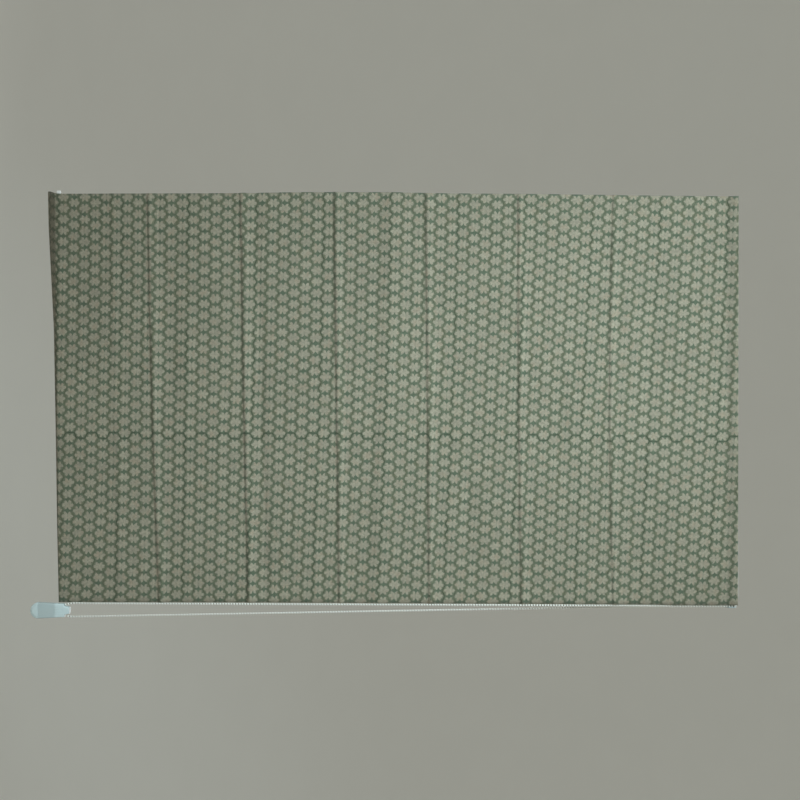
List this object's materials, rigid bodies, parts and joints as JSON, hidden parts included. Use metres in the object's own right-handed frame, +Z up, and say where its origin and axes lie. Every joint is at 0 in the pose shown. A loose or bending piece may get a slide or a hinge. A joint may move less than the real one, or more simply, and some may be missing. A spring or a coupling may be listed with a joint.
{
  "type": "roman shade with headrail",
  "caption": "Flat roman shade: a printed cloth panel with cross ribs and a bar in its hem, hung on a headrail, with a looped bead chain down one side held by a tensioner.",
  "frame": {"origin": "middle of the headrail's flat top face, where it is fastened", "axes": "+Z up, out of the headrail's top face; +X to the right for someone in the room who faces the shade; -Y into the room"},
  "size_m": [0.9313, 0.0445, 1.5404],
  "materials": {
    "printed_cloth": "matt woven cotton, printed all over with beige six-petal flowers on sage green",
    "white_plastic": "satin white moulded plastic",
    "bead_plastic": "smooth white beads",
    "painted_metal": "satin white paint",
    "glass_fibre": "plain drawn rod, off-white"
  },
  "bodies": {
    "root": {"cloth": "printed_cloth", "headrail": "painted_metal", "headrail_end": "white_plastic", "chain_drive": "white_plastic", "chain_wheel": "white_plastic", "rib_1_rod": "glass_fibre", "rib_2_rod": "glass_fibre", "rib_3_rod": "glass_fibre", "rib_4_rod": "glass_fibre", "rib_5_rod": "glass_fibre", "rib_6_rod": "glass_fibre", "bottom_bar": "painted_metal", "bar_cap_left": "white_plastic", "bar_cap_right": "white_plastic", "chain_near": "bead_plastic", "chain_far": "bead_plastic", "chain_turn": "bead_plastic", "tensioner_base": "white_plastic", "tensioner_cover": "white_plastic"}
  },
  "joints": []
}
